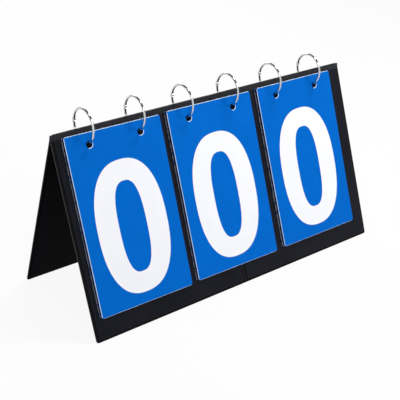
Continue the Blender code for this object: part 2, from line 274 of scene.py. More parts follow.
# Materials
def grained_vinyl(name, deep, light, sheen, smooth=0.36, rough=0.50):
    """Black leather-grain vinyl: fine pebble with painted shade in its crevices, slow waviness,
    faint dust and rubbed patches.
    """
    made, tree, shader = new_material(name)
    place = object_coordinates(tree)
    fine = noise(tree, place, 520.0, 4.0, 0.6)
    pebble = cell_walls(tree, place, 1150.0)
    # the tone darkens along the pebble's cell walls: painted shade in the grain's crevices
    crease_shade = spread(tree, pebble, -0.10, 0.16)
    tone = add_math(tree, "ADD", noise(tree, place, 14.0, 4.0, 0.6), crease_shade)
    waves = bump(tree, noise(tree, place, 22.0, 2.0, 0.5), 0.0009, 0.5)
    grain = add_math(tree, "ADD", pebble, fine)
    set_inputs(tree, shader, {
        "Base Color": ramp(tree, tone, (0.26, deep), (0.78, light)),
        "Roughness": spread(tree, fine, smooth, rough),
        "Specular IOR Level": sheen,
        "Normal": bump(tree, grain, 0.00006, 0.55, waves),
    })
    return made


def painted_edge_margin(tree, place, across, up):
    """1 in a ragged band of painted edge light along a card's left edge, top and foot, 0 within it.
    """
    half = CARD_WIDTH / 2 * PLANE_SCALE
    top = (HOLE_DROP - CARD_TOP) * PLANE_SCALE
    foot = top - CARD_HEIGHT * PLANE_SCALE
    distances = {
        "left": add_math(tree, "ADD", across, half),
        "top": add_math(tree, "SUBTRACT", top, up),
        "foot": add_math(tree, "SUBTRACT", up, foot),
    }
    left, *others = [
        add_math(tree, "DIVIDE", distance, MARGINS[side] * PLANE_SCALE)
        for side, distance in distances.items()
    ]
    nearest = left
    for border in others:
        nearest = add_math(tree, "MINIMUM", nearest, border)
    ragged = spread(tree, noise(tree, place, 260.0, 3.0, 0.6), -0.35, 0.35)
    return spread(tree, add_math(tree, "ADD", nearest, ragged), 1.0, 0.0, 0.85, 1.15)


def painted_hole_lip(tree, across, up):
    """1 on the lower right of the lip round each punched hole, where edge light is painted; 0
    elsewhere.
    """
    hole = RING_SIDES["right"] * PLANE_SCALE
    side = add_math(tree, "MULTIPLY", add_math(tree, "SIGN", across), hole)
    beside = add_math(tree, "SUBTRACT", across, side)
    rightwards = add_math(tree, "MULTIPLY", beside, 0.62)
    lean = add_math(tree, "SUBTRACT", rightwards, add_math(tree, "MULTIPLY", up, 0.78))
    squares = [add_math(tree, "MULTIPLY", leg, leg) for leg in (beside, up)]
    away = add_math(tree, "SQRT", add_math(tree, "ADD", *squares))
    lip = spread(tree, away, 1.0, 0.0, LIP_INNER * PLANE_SCALE, LIP_OUTER * PLANE_SCALE)
    below = spread(tree, add_math(tree, "DIVIDE", lean, away), 0.0, 1.0, 0.30, 0.75)
    return add_math(tree, "MULTIPLY", lip, below)


def blue_print(name, deep, light, rim):
    """Blue ink on a satin plastic sheet, with the rim colour painted as light along its edges and
    hole lips.
    """
    made, tree, shader = new_material(name)
    place = object_coordinates(tree)
    mottle = noise(tree, place, 34.0, 5.0, 0.65)
    plane = add_node(tree, "ShaderNodeUVMap", uv_map=CARD_PLANE)
    split = add_node(tree, "ShaderNodeSeparateXYZ", {"Vector": plane.outputs["UV"]})
    across, up = split.outputs["X"], split.outputs["Y"]
    lip, margin = painted_hole_lip(tree, across, up), painted_edge_margin(tree, place, across, up)
    # rim is painted light: a pale painted highlight on the front card, painted shade on the deeper
    # cards
    mix = add_node(tree, "ShaderNodeMix", {
        "Factor": add_math(tree, "MAXIMUM", lip, margin),
        "A": ramp(tree, mottle, (0.28, deep), (0.74, light)),
        "B": (*rim, 1.0),
    }, data_type="RGBA")
    marks = noise(tree, object_coordinates(tree, (30, 700, 60)), 9.0, 3.0, 0.7)
    fine = noise(tree, place, 900.0, 2.0, 0.5)
    slow = bump(tree, noise(tree, place, 9.0, 1.0, 0.5), 0.0005, 0.30)
    set_inputs(tree, shader, {
        "Base Color": mix.outputs["Result"],
        "Roughness": spread(tree, marks, 0.42, 0.58),
        "Specular IOR Level": 0.025,
        "Normal": bump(tree, fine, 0.000012, 0.5, slow),
    })
    return made


def white_print(name):
    """White ink of the digits: very slightly cool, faintly uneven."""
    made, tree, shader = new_material(name)
    place = object_coordinates(tree)
    tint = noise(tree, place, 26.0, 4.0, 0.6)
    fine = noise(tree, place, 700.0, 3.0, 0.6)
    dull, clear = (0.875, 0.880, 0.920), (0.905, 0.910, 0.945)
    set_inputs(tree, shader, {
        "Base Color": ramp(tree, tint, (0.30, dull), (0.70, clear)),
        "Roughness": spread(tree, fine, 0.40, 0.55),
        "Specular IOR Level": 0.08,
        "Normal": bump(tree, fine, 0.00001, 0.5),
    })
    return made


def cut_edge(name, dark_streak, pale_streak, share):
    """The cut edge of a card, two tones streaked along it: pale core and blue ink where lit, dark
    painted shade elsewhere.
    """
    made, tree, shader = new_material(name)
    streaks = noise(tree, object_coordinates(tree), 190.0, 4.0, 0.65)
    set_inputs(tree, shader, {
        "Base Color": ramp(tree, streaks, (share - 0.06, pale_streak), (share + 0.06, dark_streak)),
        "Roughness": spread(tree, streaks, 0.4, 0.6),
        "Specular IOR Level": 0.15,
        "Normal": bump(tree, streaks, 0.00004, 0.6),
    })
    return made


def bright_nickel(name, tone):
    """Polished plating with a slight haze and fine scratches."""
    made, tree, shader = new_material(name)
    haze = noise(tree, object_coordinates(tree), 160.0, 4.0, 0.6)
    low = tuple(c * 0.82 for c in tone)
    scratch = noise(tree, object_coordinates(tree, (900, 240, 240)), 3.0, 4.0, 0.7)
    set_inputs(tree, shader, {
        "Metallic": 1.0,
        "Base Color": ramp(tree, haze, (0.30, low), (0.70, tone)),
        "Roughness": spread(tree, scratch, 0.04, 0.13),
        "Normal": bump(tree, scratch, 0.000015, 0.5),
    })
    return made


def grey_board(name):
    """Grey pulp board with long fibres."""
    made, tree, shader = new_material(name)
    fibres = noise(tree, object_coordinates(tree, (180, 900, 900)), 1.0, 6.0, 0.7)
    fuzz = noise(tree, object_coordinates(tree), 300.0)
    set_inputs(tree, shader, {
        "Base Color": ramp(tree, fibres, (0.3, (0.24, 0.21, 0.17)), (0.7, (0.36, 0.33, 0.28))),
        "Roughness": spread(tree, fuzz, 0.8, 0.95),
        "Normal": bump(tree, fibres, 0.0001, 0.6),
    })
    return made


def studio_floor(name):
    """White floor, seen nearly pure white by camera and metal, with the case's soft shadow."""
    made, tree, shader = new_material(name)
    set_inputs(tree, shader, {
        "Base Color": (0.86, 0.86, 0.86, 1.0), "Roughness": 0.9, "Specular IOR Level": 0.1,
    })
    glow = add_node(tree, "ShaderNodeEmission", {"Color": (1, 1, 1, 1), "Strength": 1.0})
    ray = add_node(tree, "ShaderNodeLightPath").outputs
    seen = add_math(tree, "MAXIMUM", ray["Is Camera Ray"], ray["Is Glossy Ray"])
    seen = add_math(tree, "MAXIMUM", seen, ray["Is Transmission Ray"])
    mix = add_node(tree, "ShaderNodeMixShader", {
        "Fac": add_math(tree, "MULTIPLY", seen, FLOOR_GLOW),
        1: shader.outputs["BSDF"],
        2: glow.outputs["Emission"],
    })
    set_inputs(tree, tree.nodes["Material Output"], {"Surface": mix.outputs["Shader"]})
    return made


# Mesh helpers
def link(item):
    bpy.context.scene.collection.objects.link(item)
    return item


def baked(item):
    """The plain mesh of a carrier object as its modifiers leave it; the carrier is taken away."""
    bpy.context.view_layer.update()
    graph = bpy.context.evaluated_depsgraph_get()
    mesh = bpy.data.meshes.new_from_object(item.evaluated_get(graph))
    bpy.data.objects.remove(item)
    return mesh


def opened(mesh):
    work = bmesh.new()
    work.from_mesh(mesh)
    return work


def closed(work, mesh):
    work.to_mesh(mesh)
    work.free()
    return mesh


def tidy_mesh(mesh):
    """Merges doubled points and turns the faces outwards."""
    work = opened(mesh)
    bmesh.ops.remove_doubles(work, verts=work.verts, dist=MERGE_REACH)
    bmesh.ops.recalc_face_normals(work, faces=work.faces)
    return closed(work, mesh)


def path_mesh(name, points):
    """A line of edges through points in space."""
    outline = bpy.data.meshes.new(name)
    outline.from_pydata(points, [(k, k + 1) for k in range(len(points) - 1)], [])
    return outline


def flat_shape(name, outlines, thickness):
    """A flat sheet about z = 0: the first outline is its edge, the others are holes or islands."""
    curve = bpy.data.curves.new(name, "CURVE")
    curve.dimensions = "2D"
    curve.fill_mode = "BOTH"
    curve.extrude = thickness / 2
    for outline in outlines:
        spline = curve.splines.new("POLY")
        spline.points.add(len(outline) - 1)
        for point, (x, y) in zip(spline.points, outline):
            point.co = (x, y, 0.0, 1.0)
        spline.use_cyclic_u = True
    mesh = baked(link(bpy.data.objects.new(name, curve)))
    bpy.data.curves.remove(curve)
    return tidy_mesh(mesh)


def combine(name, base, operation, meshes):
    """The same boolean operation on a base mesh with each of the others."""
    item = link(bpy.data.objects.new(name, base))
    helpers = [link(bpy.data.objects.new(name + "_tool", mesh)) for mesh in meshes]
    for helper in helpers:
        modifier = item.modifiers.new("cut", "BOOLEAN")
        modifier.operation = operation
        modifier.solver = "EXACT"
        modifier.object = helper
    made = baked(item)
    for helper in helpers:
        bpy.data.objects.remove(helper)
    return made


def circle(x, y, radius, sides):
    turn = 2 * math.pi / sides
    angles = [turn * k for k in range(sides)]
    return [(x + radius * math.cos(angle), y + radius * math.sin(angle)) for angle in angles]


def rounded_box(left, right, bottom, top, radius):
    corners = [
        (right - radius, bottom + radius, -0.5),
        (right - radius, top - radius, 0.0),
        (left + radius, top - radius, 0.5),
        (left + radius, bottom + radius, 1.0),
    ]
    steps = 8
    points = []
    for x, y, start in corners:
        for step in range(steps + 1):
            angle = math.pi * (start + 0.5 * step / steps)
            points.append((x + radius * math.cos(angle), y + radius * math.sin(angle)))
    return points


def cubic(quad, t):
    """A point on a cubic curve, given by its start, its two handles and its end."""
    u = 1 - t
    weights = (u * u * u, 3 * u * u * t, 3 * u * t * t, t * t * t)
    return tuple(sum(w * p[i] for w, p in zip(weights, quad)) for i in (0, 1))


def panel_frame(front):
    """The panel's own frame: x across, z up the slope to the apex, -y outwards."""
    lean = Matrix.Rotation(-HALF_ANGLE, 4, "X")
    turn = Matrix.Identity(4) if front else Matrix.Rotation(math.pi, 4, "Z")
    return Matrix.Translation((0, 0, APEX)) @ turn @ lean


def upright(mesh, place, out=0.0):
    """Stands a flat shape (x across, y up the slope) on a panel, its front face outwards."""
    raised = place @ Matrix.Translation((0, -out, 0))
    mesh.transform(raised @ Matrix.Rotation(math.pi / 2, 4, "X"))
    return mesh


def grown(name, source, tree, values):
    """The plain mesh that a node tree makes, its inputs set by their identifiers beforehand."""
    carrier = link(bpy.data.objects.new(name, source))
    modifier = carrier.modifiers.new("nodes", "NODES")
    modifier.node_group = tree
    for identifier, value in values.items():
        modifier[identifier] = value
    return baked(carrier)


def finish_piece(name, mesh, materials, smooth, body=None, nodes=()):
    mesh.name = name
    item = link(bpy.data.objects.new(name, mesh))
    # clearing also resets the material numbers of the faces, which the cards' meshes already have
    if len(mesh.materials):
        mesh.materials.clear()
    for made in materials:
        mesh.materials.append(made)
    if smooth:
        mesh.shade_smooth()
        mesh.set_sharp_from_angle(angle=math.radians(smooth))
    if body:
        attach(item, body)
    if nodes:
        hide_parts(*nodes)
    return item


# Geometry node trees
def new_tree(name, enters, leaves, inputs):
    """A tree with named inputs; gives also its two ends and the inputs' identifiers."""
    tree = bpy.data.node_groups.new(name, "GeometryNodeTree")
    interface = tree.interface
    interface.new_socket(name=enters, in_out="INPUT", socket_type="NodeSocketGeometry")
    sockets = {}
    for label, kind, value in inputs:
        socket = interface.new_socket(name=label, in_out="INPUT", socket_type=kind)
        socket.default_value = value
        sockets[label] = socket.identifier
    interface.new_socket(name=leaves, in_out="OUTPUT", socket_type="NodeSocketGeometry")
    given = add_node(tree, "NodeGroupInput").outputs
    result = add_node(tree, "NodeGroupOutput").inputs[leaves]
    return tree, given, result, sockets


def end_tree(tree, geometry, material, result):
    realize = add_node(tree, "GeometryNodeRealizeInstances", {"Geometry": geometry})
    inputs = {"Geometry": realize.outputs["Geometry"], "Material": material}
    tree.links.new(add_node(tree, "GeometryNodeSetMaterial", inputs).outputs["Geometry"], result)


def rib_tree(vinyl):
    """Lays low rounded ribs across a welded rim, at even steps along its path."""
    tree, given, result, sockets = new_tree("weld_ribs", "Rim path", "Ribs", (
        ("Rib spacing", "NodeSocketFloat", RIB_SPACING),
        ("Rib size", "NodeSocketVector", RIB_SIZE),
        ("Seed", "NodeSocketInt", RIB_SEED),
    ))
    curve = add_node(tree, "GeometryNodeMeshToCurve", {"Mesh": given["Rim path"]})
    even = add_node(tree, "GeometryNodeResampleCurve", {
        "Curve": curve.outputs["Curve"],
        "Length": given["Rib spacing"],
    }, mode="LENGTH")
    tangent = add_node(tree, "GeometryNodeInputTangent")
    turn = add_node(tree, "FunctionNodeAlignRotationToVector", {
        "Vector": tangent.outputs["Tangent"],
    }, axis="X", pivot_axis="Z")
    rib = add_node(tree, "GeometryNodeMeshUVSphere", {"Segments": 6, "Rings": 4, "Radius": 1.0})
    vary = add_node(tree, "FunctionNodeRandomValue", {
        "Min": 0.88, "Max": 1.08, "Seed": given["Seed"],
    }, data_type="FLOAT")
    size = add_node(tree, "ShaderNodeVectorMath", {
        0: given["Rib size"],
        "Scale": vary.outputs["Value"],
    }, operation="SCALE")
    ribs = add_node(tree, "GeometryNodeInstanceOnPoints", {
        "Points": even.outputs["Curve"],
        "Instance": rib.outputs["Mesh"],
        "Rotation": turn.outputs["Rotation"],
        "Scale": size.outputs["Vector"],
    })
    end_tree(tree, ribs.outputs["Instances"], vinyl, result)
    return tree, sockets


def wire_tree(metal):
    """Sweeps a round wire along an arc and closes its two ends."""
    tree, given, result, sockets = new_tree("ring_wire", "Geometry", "Geometry", (
        ("Ring radius", "NodeSocketFloat", RING_RADIUS),
        ("Wire radius", "NodeSocketFloat", WIRE),
        ("Start angle", "NodeSocketFloat", 0.0),
        ("Sweep angle", "NodeSocketFloat", math.pi),
        ("Steps", "NodeSocketInt", 72),
    ))
    arc = add_node(tree, "GeometryNodeCurveArc", {
        "Radius": given["Ring radius"],
        "Start Angle": given["Start angle"],
        "Sweep Angle": given["Sweep angle"],
        "Resolution": given["Steps"],
    }, mode="RADIUS")
    profile = add_node(tree, "GeometryNodeCurvePrimitiveCircle", {
        "Radius": given["Wire radius"],
        "Resolution": 20,
    }, mode="RADIUS")
    sweep = add_node(tree, "GeometryNodeCurveToMesh", {
        "Curve": arc.outputs["Curve"],
        "Profile Curve": profile.outputs["Curve"],
        "Fill Caps": True,
    })
    smooth = add_node(tree, "GeometryNodeSetShadeSmooth", {"Geometry": sweep.outputs["Mesh"]})
    end_tree(tree, smooth.outputs["Geometry"], metal, result)
    return tree, sockets


# The vinyl case; on a panel, x runs across and s down the slope from the apex
def even_steps(start, end, spacing):
    count = max(1, round((end - start) / spacing))
    return [start + (end - start) * k / count for k in range(count + 1)]


def grid_lines(start, end, zones):
    """Grid lines from start to end: coarse ones, with fine ones through each zone."""
    coarse = [
        value for value in even_steps(start, end, COARSE_LINE)
        if not any(low < value < high for low, high in zones)
    ]
    fine = [
        value for low, high in zones for value in even_steps(low, high, FINE_LINE)
        if start <= value <= end
    ]
    return sorted({round(value, 7) for value in (start, end, *coarse, *fine)})


def column_lines():
    edge = PANEL_WIDTH / 2
    zones = [(-edge, -edge + FINE_RIM), (-FINE_SEAM, FINE_SEAM), (edge - FINE_RIM, edge)]
    return grid_lines(-edge, edge, zones)


def slope_lines(top):
    return grid_lines(top, PANEL_LENGTH, [(PANEL_LENGTH - FINE_RIM, PANEL_LENGTH)])


def inside_distance(x, s, left, right, top, bottom, radius):
    """How far a point lies inside a rounded rectangle; negative outside it."""
    dx = abs(x - (left + right) / 2) - (right - left) / 2 + radius
    ds = abs(s - (top + bottom) / 2) - (bottom - top) / 2 + radius
    outer = math.hypot(max(dx, 0.0), max(ds, 0.0))
    return radius - outer - min(max(dx, ds), 0.0)


def field_distance(x, s, top):
    """How far a point lies inside the nearer of a panel's two raised fields."""
    half, edge = SEAM / 2, PANEL_WIDTH / 2 - RIM
    foot = PANEL_LENGTH - RIM
    return max(
        inside_distance(x, s, -edge, -half, top, foot, FIELD_CORNER),
        inside_distance(x, s, half, edge, top, foot, FIELD_CORNER),
    )


def vinyl_level(x, s, top):
    """Depth of the vinyl's face behind the flat of the panel."""
    field = field_distance(x, s, top)
    step = min(max((field + SWELL_START) / SWELL_WIDTH, 0.0), 1.0)
    rise = math.sin(step * math.pi / 2) ** 1.5
    beside = (abs(x) - SEAM / 2 + GROOVE_INSET) / GROOVE_WIDTH
    groove = GROOVE * math.exp(-(beside ** 2))
    pillow = PILLOW * math.sin(min(max(field, 0.0) / PILLOW_REACH, 1.0) * math.pi / 2)
    return -STEP + (STEP - FIELD_LEVEL) * rise + pillow * rise - groove * (1 - rise)


def grid_mesh(name, columns, rows, point):
    """An open sheet from two lists of grid values."""
    work = bmesh.new()
    lines = [[work.verts.new(point(a, b)) for a in columns] for b in rows]
    for low, high in zip(lines, lines[1:]):
        for k in range(len(columns) - 1):
            work.faces.new((low[k], low[k + 1], high[k + 1], high[k]))
    return closed(work, bpy.data.meshes.new(name))


def thicken(name, mesh):
    item = link(bpy.data.objects.new(name, mesh))
    solid = item.modifiers.new("wall", "SOLIDIFY")
    solid.thickness = SKIN
    solid.offset = -1.0
    solid.use_even_offset = True
    return baked(item)


def cut_tools(front):
    """Cuts the ring holes of one panel and trims the sheet's corners to the rounded ones."""
    places = [x + dx for x in STACKS.values() for dx in RING_SIDES.values()]
    if not front:
        places = [-x for x in places]
    holes = [circle(x, -HOLE_DROP, PANEL_HOLE, 36) for x in places]
    shapes = [flat_shape("ring_holes", holes, CUTTER)]
    foot, r, beyond = -PANEL_LENGTH, PANEL_CORNER, CUTTER_MARGIN
    for side in (-1, 1):
        x = side * PANEL_WIDTH / 2
        outline = []
        for k in range(9):
            angle = math.pi / 2 * k / 8
            across = x - side * r * (1 - math.sin(angle))
            outline.append((across, foot + r * (1 - math.cos(angle))))
        outline += [(x + side * beyond, foot + r), (x + side * beyond, foot - beyond)]
        outline.append((x - side * r, foot - beyond))
        shapes.append(flat_shape("corners", [outline], CUTTER))
    return [upright(shape, panel_frame(front)) for shape in shapes]


def on_panel(point):
    """Where a point of the case lies on its panel: across, and down the slope."""
    y, z = -abs(point[1]), point[2] - APEX
    return point[0], -y * SIN - z * COS


def sort_vinyl(mesh):
    """Gives each face of the case its material: plain vinyl, pressed weld darkened as painted
    shade, cut edge or fold lightened as painted sheen.
    """
    edge = PANEL_WIDTH / 2
    has_fold = len(mesh.materials) > FOLDED
    for face in mesh.polygons:
        x, s = on_panel(face.center)
        at_side = abs(face.normal.x) > 0.8 and abs(x) > edge - AT_EDGE
        at_foot = abs(face.normal.z) > 0.7 and s > PANEL_LENGTH - AT_EDGE
        seam = abs(x) < SEAM_PLAIN_HALF and s < PANEL_LENGTH - RIM
        low = field_distance(x, s, BEYOND_FOLD) < PRESSED_REACH
        if at_side or at_foot:
            face.material_index = CUT
        elif has_fold and s < CARD_TOP:
            face.material_index = FOLDED
        elif low and not seam and (s > PANEL_TOP or abs(x) > NEAR_CENTRE):
            face.material_index = PRESSED
        else:
            face.material_index = PLAIN


def arch_point(level, t):
    """The front half of the rounded fold, from the panel's slope (0) to the case's top (1)."""
    start = (-FOLD_START * SIN - level * COS, APEX - FOLD_START * COS + level * SIN)
    top = APEX - FOLD_DIP + level * 0.6
    first = (start[0] + FOLD_REACH * SIN, start[1] + FOLD_REACH * COS)
    second = (-FOLD_SHOULDER - level * 0.5, top)
    return cubic((start, first, second, (0.0, top)), t)


def outer_skin(vinyls):
    """The outer vinyl: one sheet up the front panel, over the fold and down the back panel."""
    slopes = slope_lines(FOLD_START)
    rows = [(-1, s, 0) for s in reversed(slopes)]
    rows += [(-1, None, k / FOLD_STEPS) for k in range(1, FOLD_STEPS + 1)]
    rows += [(1, None, k / FOLD_STEPS) for k in range(FOLD_STEPS - 1, 0, -1)]
    rows += [(1, s, 0) for s in slopes]

    def point(x, row):
        side, s, t = row
        if s is None:
            level = vinyl_level(x, FOLD_START, BEYOND_FOLD)
            if abs(x) < NEAR_CENTRE:
                level += (max(level, FOLD_SEAM_LEVEL) - level) * t
            y, z = arch_point(level, t)
            return (x, -side * y, z)
        level = vinyl_level(x, s, BEYOND_FOLD)
        return (x, side * (s * SIN + level * COS), APEX - s * COS + level * SIN)

    sheet = grid_mesh("case_skin", column_lines(), rows, point)
    front_holes, *front_corners = cut_tools(True)
    back_holes, *back_corners = cut_tools(False)
    tools = [front_holes, back_holes, *front_corners, *back_corners]
    mesh = combine("case_skin", thicken("case_skin", sheet), "DIFFERENCE", tools)
    item = finish_piece("case_outer_vinyl", mesh, vinyls, 50)
    sort_vinyl(mesh)
    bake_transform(item)
    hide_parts("front_cover", "back_cover", "spine")


def inner_skin(panel, front, vinyls):
    """The lining of one panel, welded to the cover round the rim."""
    name = panel + "_lining"
    sign = -1 if front else 1

    def point(x, s):
        depth = -PANEL_THICKNESS - vinyl_level(x, s, ABOVE_LINING)
        return (x, sign * (s * SIN + depth * COS), APEX - s * COS + depth * SIN)

    sheet = grid_mesh(name, column_lines(), slope_lines(PANEL_TOP), point)
    work = opened(sheet)
    inward = Vector((0, -sign * COS, -SIN))
    work.normal_update()
    if sum((face.normal.dot(inward) for face in work.faces)) < 0:
        bmesh.ops.reverse_faces(work, faces=work.faces)
    body = thicken(name, closed(work, sheet))
    mesh = combine(name, body, "DIFFERENCE", cut_tools(front))
    finish_piece(name + "_vinyl", mesh, vinyls, 50, panel + "_panel", [name])
    sort_vinyl(mesh)


def weld_ribs(panel, front, vinyl, tree, sockets):
    """The fine knurl that the sealing tool leaves along the two sides and foot of a panel."""
    across = PANEL_WIDTH / 2 - RIB_INSET
    foot = PANEL_LENGTH - RIB_INSET
    path = [(-across, -RIB_TOP), (-across, RIB_CORNER - foot)]
    path += [(-across + RIB_CHAMFER, RIB_CHAMFER - foot), (-across + RIB_CORNER, -foot)]
    path += [(-x, y) for x, y in reversed(path)]
    outline = path_mesh(panel + "_rim_path", [(x, y, 0) for x, y in path])
    values = {sockets["Rib spacing"]: RIB_SPACING, sockets["Seed"]: RIB_SEED}
    mesh = grown(panel + "_rim", outline, tree, values)
    upright(mesh, panel_frame(front), RIB_LIFT - STEP)
    finish_piece(panel + "_weld_ribs", mesh, [vinyl], 60, panel + "_panel")


# Cards and their digits; the digits' outlines are in millimetres about their middles
def bezier(start, *curves, steps=18):
    """Points along cubic curves, each given by its two handles and its end."""
    points = [start]
    for first, second, end in curves:
        quad = (points[-1], first, second, end)
        points += [cubic(quad, k / steps) for k in range(1, steps + 1)]
    return points


def brush(points):
    """The outline of a stroke drawn along a line, a little thinner where it runs level."""
    left, right = [], []
    for k, (x, y) in enumerate(points):
        before, after = points[max(k - 1, 0)], points[min(k + 1, len(points) - 1)]
        dx, dy = after[0] - before[0], after[1] - before[1]
        length = math.hypot(dx, dy)
        nx, ny = -dy / length, dx / length
        left.append((x + nx * BRUSH_UPRIGHT, y + ny * BRUSH_LEVEL))
        right.append((x - nx * BRUSH_UPRIGHT, y - ny * BRUSH_LEVEL))
    return left + right[::-1]


def bowl(x, y, half_width, half_height, power=2.3):
    """An oval that a power above 2 fills out towards its corners."""
    sides = 84
    points = []
    for k in range(sides):
        angle = 2 * math.pi * k / sides
        c, s = math.cos(angle), math.sin(angle)
        across = half_width * math.copysign(abs(c) ** (2 / power), c)
        up = half_height * math.copysign(abs(s) ** (2 / power), s)
        points.append((x + across, y + up))
    return points


def digit_strokes(number):
    """The shapes that make one digit; each is an outline and any holes in it."""
    if number == 0:
        return [[bowl(0, 0, 39.3, 66.1, 2.4), bowl(0, 0, 15.6, 45.4, 2.7)]]
    if number == 1:
        flag = bezier((-4, 52), ((-9, 45), (-16, 41), (-25, 40)), steps=8)
        return [[[(3, -66.1), (27, -66.1), (27, 66.1), (8, 66.1), *flag, (-25, 22), (3, 24)]]]
    if number == 2:
        hook = bezier(
            (-27, 22), ((-27, 44), (-17, 55.6), (0, 55.6)), ((17, 55.6), (27, 45), (27, 28)),
            ((27, 2), (-22, -14), (-26, -54)),
        )
        base = [(-39.3, -66.1), (39.3, -66.1), (39.3, -45), (-20, -45), (-37.7, -52)]
        return [[brush(hook)], [base]]
    if number == 3:
        top = bezier(
            (-26, 27), ((-26, 45), (-16, 55.6), (0, 55.6)), ((17, 55.6), (26, 46), (26, 31)),
            ((26, 14), (14, 5.5), (-7, 5.5)),
        )
        low = bezier(
            (-7, 5.5), ((18, 5.5), (27.7, -6), (27.7, -24)), ((27.7, -43), (16, -55.6), (0, -55.6)),
            ((-17, -55.6), (-27.7, -44), (-27.7, -26)),
        )
        return [[brush(top)], [brush(low)]]
    if number == 4:
        outer = [(7, -66.1), (30, -66.1), (30, -40), (39.3, -40), (39.3, -19), (30, -19)]
        outer += [(30, 66.1), (4, 66.1), (-39.3, -18), (-39.3, -40), (7, -40)]
        return [[outer, [(7, -19), (7, 30), (-18, -19)]]]
    if number == 5:
        low = bezier(
            (-22, 6), ((-12, 15), (-5, 17), (2, 17)), ((19, 17), (27.7, 4), (27.7, -17)),
            ((27.7, -41), (17, -55.6), (-1, -55.6)), ((-16, -55.6), (-26, -46), (-27.7, -29)),
        )
        stem = [(-29, 66.1), (-33, -3), (-14.6, -3), (-10, 9), (-8, 45), (33, 45), (33, 66.1)]
        return [[brush(low)], [stem]]
    if number == 7:
        right = bezier((39.3, 47), ((20, 22), (4, -20), (0, -66.1)))
        left = bezier((-24.5, -66.1), ((-20, -20), (-6, 18), (13, 45)))
        return [[[(-39.3, 45), (-39.3, 66.1), (39.3, 66.1), *right, *left]]]
    if number == 8:
        top = [bowl(0, 31.5, 35.5, 34.6), bowl(0, 31.9, 13.2, 14.6)]
        return [top, [bowl(0, -27, 39.3, 39.1), bowl(0, -27, 15.8, 18.6)]]
    # a 6, which turned about its middle is also the 9
    turn = 1 if number == 6 else -1
    rings = (bowl(0, -22.4, 39.3, 43.7), bowl(0, -22.4, 15.6, 23))
    loop = [[(turn * x, turn * y) for x, y in ring] for ring in rings]
    arm = bezier(
        (26.5, 30), ((26.5, 46), (17, 55.6), (2, 55.6)), ((-18, 55.6), (-27.7, 34), (-27.7, -4)),
        ((-27.7, -10), (-27.7, -16), (-27.7, -22)),
    )
    return [loop, [brush([(turn * x, turn * y) for x, y in arm])]]


def glyph(number):
    """A digit as one thin slab, lying in the card's plane about its own middle."""
    name = f"digit_{number}"
    slabs = []
    for outlines in digit_strokes(number):
        scaled = [[(x / 1000, y / 1000) for x, y in outline] for outline in outlines]
        slabs.append(flat_shape(name, scaled, INK_SLAB))
    mesh, *others = slabs
    if others:
        mesh = tidy_mesh(combine(name, mesh, "UNION", others))
    mesh.transform(Matrix.Diagonal((1, 1, (INK + INK_KEY) / INK_SLAB, 1)))
    return mesh


def card_mesh(name, digit, place):
    """A punched card with its digit, in its own plane about the middle between the holes."""
    half = CARD_WIDTH / 2
    drop = HOLE_DROP - CARD_TOP
    outline = rounded_box(-half, half, drop - CARD_HEIGHT, drop, CARD_CORNER)
    holes = [circle(dx, 0, CARD_HOLE, 40) for dx in RING_SIDES.values()]
    work = opened(flat_shape(name, [outline, *holes], CARD_THICKNESS))
    for face in work.faces:
        x, y, _ = face.calc_center_median()
        punched = math.hypot(abs(x) - RING_SIDES["right"], y) < CARD_HOLE + 0.0002
        flat = abs(face.normal.z) > 0.7
        face.material_index = SHEET if flat else PUNCHED if punched else EDGE
    start = len(work.faces)
    work.from_mesh(digit)
    work.faces.ensure_lookup_table()
    print_faces = work.faces[start:]
    for face in print_faces:
        face.material_index = DIGIT
    lift = CARD_THICKNESS / 2 + INK - (INK + INK_KEY) / 2
    middle = place @ Matrix.Translation((0, drop - DIGIT_MIDDLE, lift))
    points = list({v for face in print_faces for v in face.verts})
    bmesh.ops.transform(work, matrix=middle, verts=points)
    plane = work.loops.layers.uv.new(CARD_PLANE)
    for face in work.faces:
        for corner in face.loops:
            corner[plane].uv = corner.vert.co.xy * PLANE_SCALE
    return closed(work, bpy.data.meshes.new(name))


def build_cards(front_blue, stack_blue, white, bare_edge, shaded_card_edge, shaded_hole_wall):
    """Ten cards per stack; each stack hangs a little askew in its wide holes, as in use."""
    for number in range(10):
        digit = glyph(number)
        blue = front_blue if number == 0 else stack_blue
        # cards outside BARE_EDGED get a cut edge darkened as painted shade
        rim = bare_edge if number in BARE_EDGED else shaded_card_edge
        looks = [blue, rim, white, shaded_hole_wall]
        out = CARD_SEAT + CARD_THICKNESS / 2 + (9 - number) * CARD_PITCH
        for stack, x in STACKS.items():
            node = f"card_{stack}_{number}"
            across, down, askew = CARD_HANG[stack]
            tilt = Matrix.Rotation(math.radians(-askew), 4, "Z")
            hang = Matrix.Translation((across, -down, 0)) @ tilt
            aside, raised = PRINT_SHIFT[stack]
            place = hang.inverted() @ Matrix.Translation((aside, raised, 0))
            mesh = card_mesh(node, digit, place)
            mesh.transform(hang)
            shift = Matrix.Translation((x - CARD_FAN * number, 0, -HOLE_DROP))
            upright(mesh, panel_frame(True) @ shift, out)
            body = f"{stack}_front_card" if number == 0 else f"{stack}_stack"
            finish_piece(f"printed_{node}", mesh, looks, 0, body, [node])


# Rings; angles run from straight down towards the front
def ring_point(angle):
    return Vector((0, -RING_RADIUS * math.sin(angle), -RING_RADIUS * math.cos(angle)))


def ring_along(angle):
    return Vector((0, -math.cos(angle), math.sin(angle)))


def swept_wire(name, tree, sockets, start, sweep):
    """One half of a ring's wire."""
    values = {sockets["Start angle"]: start, sockets["Sweep angle"]: sweep}
    mesh = grown(name, bpy.data.meshes.new(name), tree, values)
    # the arc lies in XY from +X; turn it so that angle zero points down and grows towards -Y
    turn = Matrix(((0, 0, 1, 0), (0, -1, 0, 0), (-1, 0, 0, 0), (0, 0, 0, 1)))
    mesh.transform(turn)
    return tidy_mesh(mesh)


